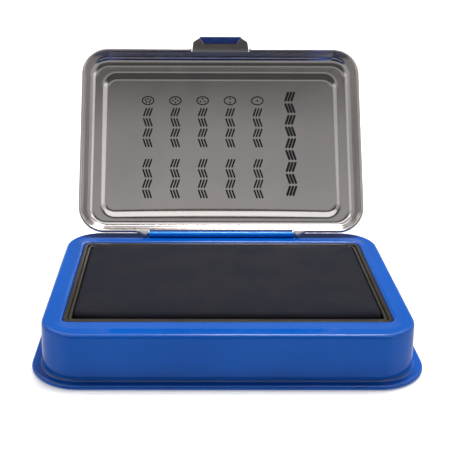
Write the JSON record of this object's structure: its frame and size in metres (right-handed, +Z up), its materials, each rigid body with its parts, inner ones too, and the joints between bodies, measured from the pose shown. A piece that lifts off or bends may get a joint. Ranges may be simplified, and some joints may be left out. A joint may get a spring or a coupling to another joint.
{
  "type": "ink pad",
  "caption": "Hinged sheet-metal ink pad: a painted base with an inked cloth pad set in its top, and a pressed lid with a thumb tab that folds back on a rear hinge.",
  "frame": {"origin": "middle of the flat underside that the base stands on", "axes": "+X along the base's long side, to the right seen from the thumb tab; +Y towards the hinge; +Z up"},
  "size_m": [0.1384, 0.1392, 0.0962],
  "materials": {
    "blue_paint": "gloss blue stove enamel on steel",
    "tinplate": "bare bright tinplate inside, blue enamel outside",
    "plain_steel": "plain steel",
    "dark_plastic": "dark brown-black, half gloss",
    "inked_cloth": "fine plain weave, soaked blue-black",
    "inked_foam": "open soft foam, inked",
    "inked_felt": "wool felt, inked",
    "board": "stiff fibre board"
  },
  "bodies": {
    "base": {"base_shell": "blue_paint", "bottom_plate": "plain_steel", "hinge_leaf": "blue_paint", "hinge_pin": "plain_steel", "ink_tray": "dark_plastic", "pad_frame": "dark_plastic", "pad_cloth": "inked_cloth", "pad_foam": "inked_foam", "reservoir_felt": "inked_felt", "backing_board": "board"},
    "lid": {"lid_shell": "tinplate"}
  },
  "joints": [
    {"name": "lid_hinge", "type": "hinge", "parent": "base", "child": "lid", "pos_m": [0, 0.0406, 0.02], "axis": [1, 0, 0], "range_deg": [0, 122.3]}
  ]
}
